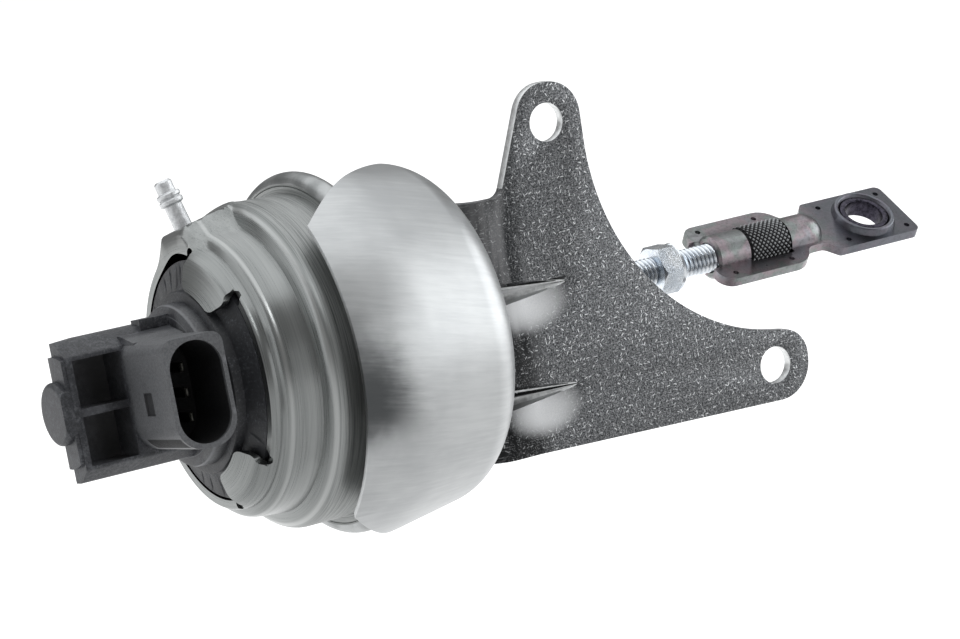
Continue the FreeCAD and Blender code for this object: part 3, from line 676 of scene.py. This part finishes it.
# Upper half of the can: drawn skin, raised pad, bent tabs
upper = {
    "path": [(-20.7, 17.7, 0), (-18.9, 22.6, 1.2), (-17.3, 23.9, 0.6), (-15.7, 23.9, 0.5),
             (-14.7, 25.9, 0.8), (-8.3, 26.5, 0.8), (-7.0, 30.0, 2.0), (4.9, 30.0, 1.0), (4.9, 33.0, 0)],
    "sheet": 1.2, "steps": 240, "chord": 0.5, "mouth": -18.9,
    "window": {"end": -26, "out": 36, "past": 0.6, "steps": 64},
    "tab": {"count": 3, "first": 60, "half": 7.6, "tip": 17.7, "round": 2.4, "slope": 2.8, "shoulder": 2.0,
            "out": 40, "deep": 12},
    "relief": {"r": 1.4, "deep": 3.0, "x": -0.3, "out": 22.0, "side": 1.12, "sides": 24},
    "pad": {"lean": 12.0, "turn": 15.0, "top": 28.3, "x": -11.8, "flat": 7.0, "slope": 1.32, "soft": 1.3,
            "end": (-18.7, -15.4), "reach": 18, "deep": 14, "fade": 4, "round": 0.6},
}


def padFrame(pad):
    lean, side = math.radians(pad["lean"]), math.radians(pad["turn"])
    axis = Vector((-math.sin(lean), math.cos(lean) * math.sin(side), math.cos(lean) * math.cos(side)))
    foot = Vector((pad["x"], pad["top"] * math.sin(side), pad["top"] * math.cos(side)))
    return foot, axis


def raisePad(obj, pad, mouth):
    # the skin rises to a flat, with a soft foot; it runs out towards the can's mouth
    foot, axis = padFrame(pad)
    low, high = pad["end"]
    for v in obj.data.vertices:
        off = v.co - foot
        height = off.dot(axis)
        out = (off - axis * height).length
        if v.co.x < mouth - 0.01 or out > pad["reach"] or height < -pad["deep"]:
            continue
        wall = -max(out - pad["flat"], 0) * pad["slope"]
        gap = (wall - height) / pad["soft"]
        if gap > -pad["fade"]:
            ramp = min(max((v.co.x - low) / (high - low), 0), 1)
            rise = pad["soft"] * 0.5 * (gap + math.sqrt(gap * gap + pad["round"]))
            v.co += axis * (rise * math.sin(ramp * math.pi / 2))


def tabCutter(tab, end, angle):
    half, tip, r = tab["half"], tab["tip"], tab["round"]
    side = [(tip, half - r, r), (tip + tab["slope"], half, tab["shoulder"]), (tab["out"], half, 0)]
    outline = [(a, -b, c) for a, b, c in side[::-1]] + side
    spots = corners(outline, closed=True)
    obj = slab("tab", spots, lambda p: Vector((end, -p.x, p.y)), Vector((tab["deep"], 0, 0)))
    return place(obj, Matrix.Rotation(-math.radians(angle), 4, "X"))


def buildUpper(u):
    line = []
    spots = corners(u["path"])
    for before, after in zip(spots, spots[1:]):
        count = max(1, round((after - before).length / u["chord"]))
        line += [before.lerp(after, k / count) for k in range(count)]
    obj = turned("upperSkin", line + [spots[-1]], closed=False, steps=u["steps"])
    raisePad(obj, u["pad"], u["mouth"])
    modify(obj, "SOLIDIFY", thickness=u["sheet"], offset=-1, use_even_offset=True)
    w, tab, relief = u["window"], u["tab"], u["relief"]
    inner = u["mouth"] + w["past"]
    window = turned("window", [(w["end"], 0), (w["end"], w["out"]), (inner, w["out"]), (inner, 0)], False,
                    w["steps"])
    angles = [can["clock"] + tab["first"] + 360 / tab["count"] * i for i in range(tab["count"])]
    for angle in angles:
        combine(window, tabCutter(tab, w["end"], angle))
    combine(obj, window)
    for angle in angles:
        for side in (-1, 1):
            deselect()
            bpy.ops.mesh.primitive_cylinder_add(
                vertices=relief["sides"], radius=relief["r"], depth=relief["deep"],
                location=(u["mouth"] + relief["x"], -relief["out"], side * (tab["half"] + relief["side"])),
                rotation=(0, math.pi / 2, 0))
            notch = bpy.context.object
            bpy.ops.object.transform_apply(location=True, rotation=True, scale=True)
            combine(obj, place(notch, Matrix.Rotation(-math.radians(angle), 4, "X")))
    smooth(place(obj, aboutCan))
    hand(obj, "can", steel["drawn"], "drawn_steel", "upper_shell")


buildUpper(upper)
print("upper skin drawn")


# Lower half, with the rim that is rolled over the upper one's flange
lower = {
    "path": [(5.0, 30.1, 0), (3.7, 31.9, 2.0), (3.7, 34.98, 2.3), (8.5, 34.98, 2.3), (8.5, 31.2, 1.2),
             (31.5, 28.6, 8.0), (31.5, 6.5, 0)],
    "sheet": 1.2, "steps": 200,
}


def buildLower(u):
    obj = turned("rolledRim", corners(strip(u["path"], -u["sheet"]), closed=True), steps=u["steps"])
    smooth(place(obj, aboutCan))
    hand(obj, "can", steel["rim"], "drawn_steel", "lower_shell")


buildLower(lower)
print("rim rolled")


# Vacuum spigot: a turned tube with a foot ring, two rings and a rough tip
spigot = {
    "shift": 3.0, "grain": 0.12, "steps": 40,
    "outline": [(-1.2, 1.0, 0), (-1.2, 1.85, 0), (0.0, 1.85, 0), (0.0, 2.55, 0.25), (0.7, 2.55, 0.25),
                (0.7, 1.95, 0.1), (1.2, 1.8, 0.3), (5.8, 1.75, 0.2), (6.0, 2.35, 0.25), (6.9, 2.35, 0.3),
                (7.05, 1.8, 0.1), (7.3, 2.35, 0.25), (8.1, 2.35, 0.3), (8.3, 1.75, 0.1), (10.3, 1.75, 0.4),
                (10.7, 1.35, 0.1), (10.7, 1.0, 0)],
}


def buildSpigot(u, pad):
    slope = math.tan(math.radians(pad["lean"]))
    foot, axis = padFrame(dict(pad, x=pad["x"] - u["shift"], top=pad["top"] - u["shift"] * slope))
    obj = turned("spigot", corners(u["outline"], u["grain"], closed=True), steps=u["steps"])
    turn = Vector((1, 0, 0)).rotation_difference(axis).to_matrix().to_4x4()
    smooth(place(obj, aboutCan @ Matrix.Translation(foot) @ turn), 40)
    hand(obj, "can", steel["nipple"], "nipple_steel", "vacuum_nipple")


buildSpigot(spigot, upper["pad"])
print("spigot turned")


# Heat shield: a bellied cup, cut open on the side away from the hot face
shield = {
    "path": [(-5.4, 36.68, 0), (7.5, 36.38, 60), (32.3, 32.2, 9.4), (32.3, 6.5, 0)], "sheet": 0.8,
    "grain": 0.6, "steps": 200, "shift": (0, -0.4, -0.2), "ease": 0.3, "sharp": 50,
    "topCut": [(-14.4, -26.6, 0), (-5.4, -23.6, 7.0), (20.0, -3.5, 12.0)],
    "lowCut": [(-14.4, -28.0, 0), (-5.4, -26.6, 3.0), (8.9, -13.0, 14.0), (19.0, 5.0, 3.0)],
    "behind": [(34.0, 8.0, 0), (34.0, 74.0, 0), (-14.4, 74.0, 0)], "cutGrain": 0.5, "deep": 74,
}


def buildShield(u):
    spots = corners(strip(u["path"], -u["sheet"]), u["grain"], closed=True)
    obj = turned("shieldCup", spots, steps=u["steps"])
    place(obj, Matrix.Translation(u["shift"]))
    for cut, base in ((u["topCut"], 0), (u["lowCut"], -u["deep"])):
        spots = corners(cut + u["behind"], u["cutGrain"], closed=True)
        up = Vector((0, 0, u["deep"]))
        combine(obj, slab("cutter", spots, lambda p, base=base: Vector((p.x, p.y, base)), up))
    modify(obj, "BEVEL", width=u["ease"], segments=3, limit_method="ANGLE",
           angle_limit=math.radians(u["sharp"]))
    smooth(place(obj, aboutCan))
    hand(obj, "can", steel["shield"], "shield_steel", "heat_shield")


buildShield(shield)
print("shield pressed")


# Bracket: its plate's mesh, the ribs trimmed level with the face, with eased edges in a light steel
# finish: bare steel on the cut faces, a painted highlight on the eased front edges
plate = {
    "ease": 0.42, "sharp": 40, "trim": {"at": (-0.01, -0.00501, 0), "size": (0.12, 0.01, 0.12)},
    "cutEdgeAndHighlight": {"facing": 0.95, "deep": 2.05, "from": -33.0},
}


def buildPlate(u):
    obj = copyNode("mounting_bracket", "mountPlate")
    deselect()
    bpy.ops.mesh.primitive_cube_add(size=1, location=u["trim"]["at"])
    bpy.context.object.scale = u["trim"]["size"]
    bpy.ops.object.transform_apply(location=True, rotation=True, scale=True)
    combine(obj, bpy.context.object)
    modify(obj, "BEVEL", width=u["ease"] * mm, segments=2, limit_method="ANGLE",
           angle_limit=math.radians(u["sharp"]))
    smooth(obj)
    hand(obj, "can", [steel["plate"], steel["cut"]], "zinc_plate", "mounting_bracket")
    # the cut faces and the eased front edges take the light steel: bare on the cut, a painted highlight on
    # the eased edges
    cut = u["cutEdgeAndHighlight"]
    back = min(v.co.y for v in obj.data.vertices) + cut["deep"] * mm
    for face in obj.data.polygons:
        c, n = face.center, face.normal
        isEdgeFace = abs(n.y) < cut["facing"] and c.y < back and c.x > cut["from"] * mm
        face.material_index = 1 if isEdgeFace else 0


buildPlate(plate)
print("plate folded")


# Sensor housing: its own mesh, its long edges eased more than the rest, its foot spread to fill the can's
# mouth
housing = {
    "ease": 0.5, "long": 3.0, "before": -22.0, "little": 0.12, "sharp": 38,
    "foot": {"x": -17.826, "r": 21.88, "within": 0.1, "back": -0.35, "wider": 1.035},
}


def buildHousing(u):
    obj = copyNode("sensor_housing", "sensorBody")
    edit(obj)
    foot, sharp = u["foot"], math.radians(u["sharp"])
    centre = Vector(can["place"])
    limit = can["place"][0] + u["before"]

    def isLong(edge):
        if len(edge.link_faces) != 2 or edge.calc_length() < u["long"] * mm:
            return False
        return all(v.co.x < limit * mm for v in edge.verts) and edge.calc_face_angle() > sharp

    def isFoot(v):
        x, y, z = v.co / mm - centre
        return abs(x - foot["x"]) < foot["within"] and abs(math.hypot(y, z) - foot["r"]) < foot["within"]

    pick(obj, "verts", isFoot)
    bpy.ops.transform.resize(value=(1, foot["wider"], foot["wider"]), center_override=centre * mm)
    bpy.ops.transform.translate(value=(foot["back"] * mm, 0, 0))
    pick(obj, "edges", isLong)
    bpy.ops.mesh.bevel(offset=u["ease"] * mm, segments=3, affect="EDGES", clamp_overlap=True)
    bpy.ops.object.mode_set(mode="OBJECT")
    modify(obj, "BEVEL", width=u["little"] * mm, segments=1, limit_method="ANGLE", angle_limit=sharp)
    smooth(obj)
    hand(obj, "can", mould["sensor"], "sensor_plastic", "sensor_housing")


buildHousing(housing)
print("sensor housing moulded")


# Rod with its ball and thread
rodSize = {
    "r": 3.0, "core": 2.42, "pitch": 1.0, "from": 60.0, "turns": 58, "crest": {"wide": 0.2, "drop": 0.05},
    "ball": 5.0, "ballEnd": 0.8, "ballSteps": 24, "neck": {"x": 5.2, "r": 2.6, "lap": 1}, "steps": 32,
    "threadSteps": 24,
}


def buildRod(u):
    start, neck, crest = rodSet["ball"], u["neck"], u["crest"]
    angles = [math.pi * k / u["ballSteps"] * u["ballEnd"] for k in range(u["ballSteps"] + 1)]
    line = [(start - u["ball"] * math.cos(a), u["ball"] * math.sin(a)) for a in angles]
    last = u["from"] - neck["lap"]
    line += [(start + neck["x"], neck["r"]), (last, neck["r"]), (last, 0)]
    obj = turned("threadedRod", line, closed=False, steps=u["steps"])
    half, low = u["pitch"] / 2, u["r"] - crest["drop"]
    groove = [(0, u["core"]), (half * (1 - crest["wide"]), low), (half, u["r"]),
              (half * (1 + crest["wide"]), low), (u["pitch"], u["core"])]
    thread = drawLine("thread", [Vector((u["from"] + x, 0, r)) for x, r in groove])
    bpy.ops.object.mode_set(mode="OBJECT")
    modify(thread, "SCREW", axis="X", screw_offset=u["pitch"], iterations=u["turns"],
           steps=u["threadSteps"], render_steps=u["threadSteps"], use_merge_vertices=True,
           merge_threshold=weld / 2)
    edit(thread)
    tidyFaces()
    join(obj, [thread])
    smooth(place(obj, aboutRod), 30)
    hand(obj, "rod", steel["rod"], "rod_steel", "rod")


buildRod(rodSize)

# Hexagon, its corners eased by a turned form, with a round face towards the eye
hexSize = {
    "flats": 9.4, "x": 83.4, "length": 4.8, "ease": 0.6, "over": 0.1, "past": 0.01,
    "face": [(-0.5, 0), (-0.5, 4.5), (0, 4.8), (0.45, 4.9), (0.6, 4.7), (0.6, 0)], "easeSteps": 96,
    "faceSteps": 64,
}


def buildHex(u):
    across, flat = u["flats"] / math.sqrt(3), u["flats"] / 2
    end = u["x"] + u["length"]
    deselect()
    bpy.ops.mesh.primitive_cylinder_add(vertices=6, radius=across, depth=u["length"],
                                        location=(u["x"] + u["length"] / 2, 0, 0),
                                        rotation=(0, math.pi / 2, 0))
    obj = bpy.context.object
    obj.name = "rodHex"
    bpy.ops.object.transform_apply(location=True, rotation=True, scale=True)
    x0, x1, r = u["x"] - u["past"], end + u["past"], across + u["over"]
    line = [(x0, 0), (x0, flat), (u["x"] + u["ease"], r), (end - u["ease"], r), (x1, flat), (x1, 0)]
    combine(obj, turned("ease", line, False, u["easeSteps"]), "INTERSECT")
    face = turned("face", [(end + x, r) for x, r in u["face"]], False, u["faceSteps"])
    join(obj, [face])
    smooth(place(obj, aboutRod), 25)
    hand(obj, "rod", steel["rod"], "rod_steel", "rod_hex")


buildHex(hexSize)
print("rod threaded")


# Rod end: two pressed halves round the adjuster, with pits where they're clinched, and a bush in the eye
eyeAt = 137.9
endSize = {
    "sheet": 1.0, "ease": 0.22, "sharp": 38, "steps": 80, "grain": (0.4, 0.15), "past": 10, "before": 5,
    "outline": [(95.9, 8.85, 3.2), (117.2, 8.85, 5.0), (120.0, 4.9, 2.0), (124.3, 4.9, 1.6),
                (126.7, 7.8, 0.9), (147.68, 7.8, 1.5)],
    "notch": {"x": 98.1, "half": 4.7, "top": 1.5, "ease": 1.2},
    "barrel": {"x": (97.6, 121.4), "r": 4.45, "round": 4.6, "ease": (0.45, 0.5), "low": 0.02},
    "bore": {"r": 3.2, "steps": 48}, "window": {"x": (105.4, 116.0), "half": 5.3},
    "eye": {"x": eyeAt, "bore": 5.2, "z": (-1, 1.9)},
    "collar": [(0.5, 5.0, 0), (1.7, 5.35, 0.2), (2.45, 5.75, 0.3), (2.5, 6.45, 0.35), (1.0, 6.9, 0),
               (0.5, 6.9, 0)],
    "pits": [(dx + eyeAt, dy) for dx in (-7.9, 7.6) for dy in (-5.6, 5.6)]
    + [(x, dy) for x in (99.6, 114.0) for dy in (-7.0, 7.0)],
    "pit": {"r": 0.6, "deep": 0.6, "sides": 16},
}
upright = Matrix.Rotation(-math.pi / 2, 4, "Y")


def block(x0, x1, half, low, high):
    # a box from x0 to x1, to cut with
    deselect()
    bpy.ops.mesh.primitive_cube_add(size=1, location=((x0 + x1) / 2, 0, (low + high) / 2))
    box = bpy.context.object
    box.scale = (x1 - x0, 2 * half, high - low)
    bpy.ops.object.transform_apply(location=True, rotation=True, scale=True)
    return box


def pin(x, y, r, low, high, sides):
    deselect()
    bpy.ops.mesh.primitive_cylinder_add(vertices=sides, radius=r, depth=high - low,
                                        location=(x, y, (low + high) / 2))
    bpy.ops.object.transform_apply(location=True, rotation=True, scale=True)
    return bpy.context.object


def buildEnd(u):
    outline = u["outline"] + [(x, -y, r) for x, y, r in u["outline"][::-1]]
    sheet, past, eye, pit, notch = u["sheet"], u["past"], u["eye"], u["pit"], u["notch"]
    obj = slab("endUpper", corners(outline, u["grain"][0], closed=True), lambda p: Vector((p.x, p.y, 0)),
               Vector((0, 0, sheet)))
    (x0, x1), r, long = u["barrel"]["x"], u["barrel"]["r"], u["barrel"]["round"]
    ease = u["barrel"]["ease"]
    turns = [math.pi * k / 20 for k in range(11)]
    dome = [(x1 + long * math.sin(t), max(r * math.cos(t), 0)) for t in turns]
    barrel = turned("barrel", [(x0, 0), (x0, r - ease[1]), (x0 + ease[0], r)] + dome, False, u["steps"])
    combine(barrel, block(x0 - u["before"], x1 + past, past, -past, u["barrel"]["low"]))
    combine(obj, barrel, "UNION")
    collar = turned("collar", corners(u["collar"], u["grain"][1], closed=True), steps=u["steps"])
    combine(obj, place(collar, Matrix.Translation((eye["x"], 0, 0)) @ upright), "UNION")
    start, bore = x0 - u["before"], u["bore"]["r"]
    line = [(start, 0), (start, bore), (x1, bore), (x1, 0)]
    combine(obj, turned("bore", line, False, u["bore"]["steps"]))
    combine(obj, pin(eye["x"], 0, eye["bore"], *eye["z"], u["steps"]))
    combine(obj, block(*u["window"]["x"], u["window"]["half"], -past, past))
    gap = block(start, notch["x"], notch["half"], -past, notch["top"])
    modify(gap, "BEVEL", width=notch["ease"], segments=4, limit_method="ANGLE")
    combine(obj, gap)
    for x, y in u["pits"]:
        combine(obj, pin(x, y, pit["r"], sheet - pit["deep"], sheet + 1, pit["sides"]))
    modify(obj, "BEVEL", width=u["ease"], segments=2, limit_method="ANGLE",
           angle_limit=math.radians(u["sharp"]))
    take(obj)
    bpy.ops.object.duplicate()
    other = bpy.context.object
    other.name = "endLower"
    edit(other)
    bpy.ops.transform.mirror(orient_type="GLOBAL", constraint_axis=(False, False, True),
                             center_override=(0, 0, 0))
    bpy.ops.mesh.normals_make_consistent(inside=False)
    bpy.ops.object.mode_set(mode="OBJECT")
    for half, node in ((obj, "rod_end_upper"), (other, "rod_end_lower")):
        smooth(place(half, aboutEnd))
        hand(half, "rod_end", steel["end"], "passivated_steel", node)


buildEnd(endSize)

bush = {
    "x": eyeAt, "grain": 0.1, "steps": 64,
    "outline": [(-2.0, 4.0, 0.3), (-2.0, 5.2, 0.25), (2.0, 5.2, 0.25), (2.0, 4.0, 0.3)],
}


def buildBush(u):
    obj = turned("eyeBush", corners(u["outline"], u["grain"], closed=True), steps=u["steps"])
    smooth(place(obj, aboutEnd @ Matrix.Translation((u["x"], 0, 0)) @ upright))
    hand(obj, "rod_end", steel["bush"], "bush_steel", "eye_bush")


buildBush(bush)
print("rod end pressed")


# Adjuster: a knurled nut in the rod end's windows
knurl = {
    "x": (105.55, 115.85), "r": 4.9, "bore": 3.06, "diamonds": 24, "rows": 19, "rise": 0.34, "rim": 0.35,
}


def buildKnurl(u):
    x0, x1 = u["x"]
    step = (x1 - x0) / u["rows"]
    low = u["r"] - u["rise"]
    rim = low - u["rim"]
    line = [(x0, u["bore"]), (x0, rim)]
    line += [(x0 + step * k, low) for k in range(1, u["rows"])]
    line += [(x1, rim), (x1, u["bore"])]
    columns = u["diamonds"] * 2
    obj = turned("knurledNut", line, True, columns)
    edit(obj)

    def isTip(v):
        if not (x0 + step * 0.5 < v.co.x < x1 - step * 0.5) or v.co.yz.length < low - 0.1:
            return False
        row = round((v.co.x - x0) / step)
        column = round(math.atan2(v.co.z, v.co.y) / (full / columns))
        return (row + column) % 2 == 0

    pick(obj, "verts", isTip)
    bpy.ops.transform.shrink_fatten(value=u["rise"])
    bpy.ops.mesh.select_all(action="SELECT")
    bpy.ops.mesh.quads_convert_to_tris(quad_method="SHORTEST_DIAGONAL")
    bpy.ops.mesh.normals_make_consistent(inside=False)
    bpy.ops.object.mode_set(mode="OBJECT")
    smooth(place(obj, aboutRod), 12)
    hand(obj, "adjuster", steel["knurl"], "black_steel", "adjuster_nut")


buildKnurl(knurl)
print("adjuster knurled")


# CAD nodes that keep their own form
kept = {
    "circuit_board": mould["board"], "hall_chip": mould["chip"], "sensor_seal": mould["seal"],
    "diaphragm": mould["diaphragm"], "return_spring": steel["spring"], "piston_cup": steel["piston"],
    "piston_plate": steel["piston"], "rod_socket": mould["hub"], "sensor_plunger": mould["hub"],
    "plunger_magnet": steel["magnet"], "terminal_1": steel["shadedTin"], "terminal_2": steel["shadedTin"],
    "terminal_3": steel["shadedTin"],
}
for node, finish in kept.items():
    slots = frame["nodes"][node].data.materials
    if not slots:
        slots.append(finish)
    for i in range(len(slots)):
        slots[i] = finish
print("inner pieces finished")


# Floor, light and camera
studio = {
    "floor": {"size": 12.0, "z": -0.16, "pale": (0.45, 0.45, 0.45), "glow": 0.88,
              "shadedGlow": (0.35, 0.35, 0.35), "away": (0.51, 0.86), "lit": (-120, 190)},
    "lights": [
        {"place": (0.0, 0.6, 1.6), "aim": (0, 0.6, 0), "size": 3.2, "power": 34},
        {"place": (1.5, -0.5, 0.4), "aim": (0, 0, 0), "size": 1.4, "power": 13},
        {"place": (-1.6, 0.5, 0.45), "aim": (0, 0, 0), "size": 1.6, "power": 7},
        {"place": (-0.6, -0.9, 1.1), "aim": (0, 0, 0), "size": 0.35, "power": 1.8},
        {"place": (0.9, -1.3, 0.15), "aim": (0, 0, 0), "size": 0.8, "power": 2.4},
    ],
    "tint": (0.965, 0.985, 1.0), "world": 0.24,
    "camera": {"place": (-0.351423, -0.516921, 0.102687), "turn": (79.6971, 7.1265, -32.0315),
               "lens": 120.096, "sensor": 36},
}


def buildFloor(u):
    # pale and glowing, dimmer towards the camera and under the part as a painted shade, brighter behind
    # the part
    deselect()
    bpy.ops.mesh.primitive_plane_add(size=u["size"], location=(0, 0, u["z"]))
    floor = bpy.context.object
    floor.name = "floor"
    pale = Finish("paleFloor", Base_Color=(*u["pale"], 1), Emission_Strength=u["glow"], Roughness=0.9)
    x, y = pale.split(pale.spot())[:2]
    # painted shade: the glow falls off towards the camera and under the part
    away = (x * u["away"][0] + y * u["away"][1]).rise(*u["lit"])
    pale.feed(Emission_Color=pale.mix(away, u["shadedGlow"], (1, 1, 1)))
    floor.data.materials.append(pale.material)


def buildStudio(s):
    buildFloor(s["floor"])
    for i, light in enumerate(s["lights"]):
        bpy.ops.object.light_add(type="AREA", location=light["place"])
        lamp = bpy.context.object
        lamp.name = "soft%d" % i
        lamp.data.shape = "SQUARE"
        lamp.data.size = light["size"]
        lamp.data.energy = light["power"]
        lamp.data.color = s["tint"]
        toward = Vector(light["aim"]) - Vector(light["place"])
        lamp.rotation_euler = toward.to_track_quat("-Z", "Y").to_euler()
    world = bpy.data.worlds.new("studio")
    bpy.context.scene.world = world
    world.use_nodes = True
    world.node_tree.nodes["Background"].inputs["Color"].default_value = (s["world"],) * 3 + (1,)
    bpy.ops.object.camera_add(location=s["camera"]["place"],
                              rotation=[math.radians(a) for a in s["camera"]["turn"]])
    camera = bpy.context.object
    camera.data.lens = s["camera"]["lens"]
    camera.data.sensor_width = s["camera"]["sensor"]
    bpy.context.scene.camera = camera
    bpy.context.scene.view_settings.view_transform = "Standard"


buildStudio(studio)
print("studio set")

deselect()
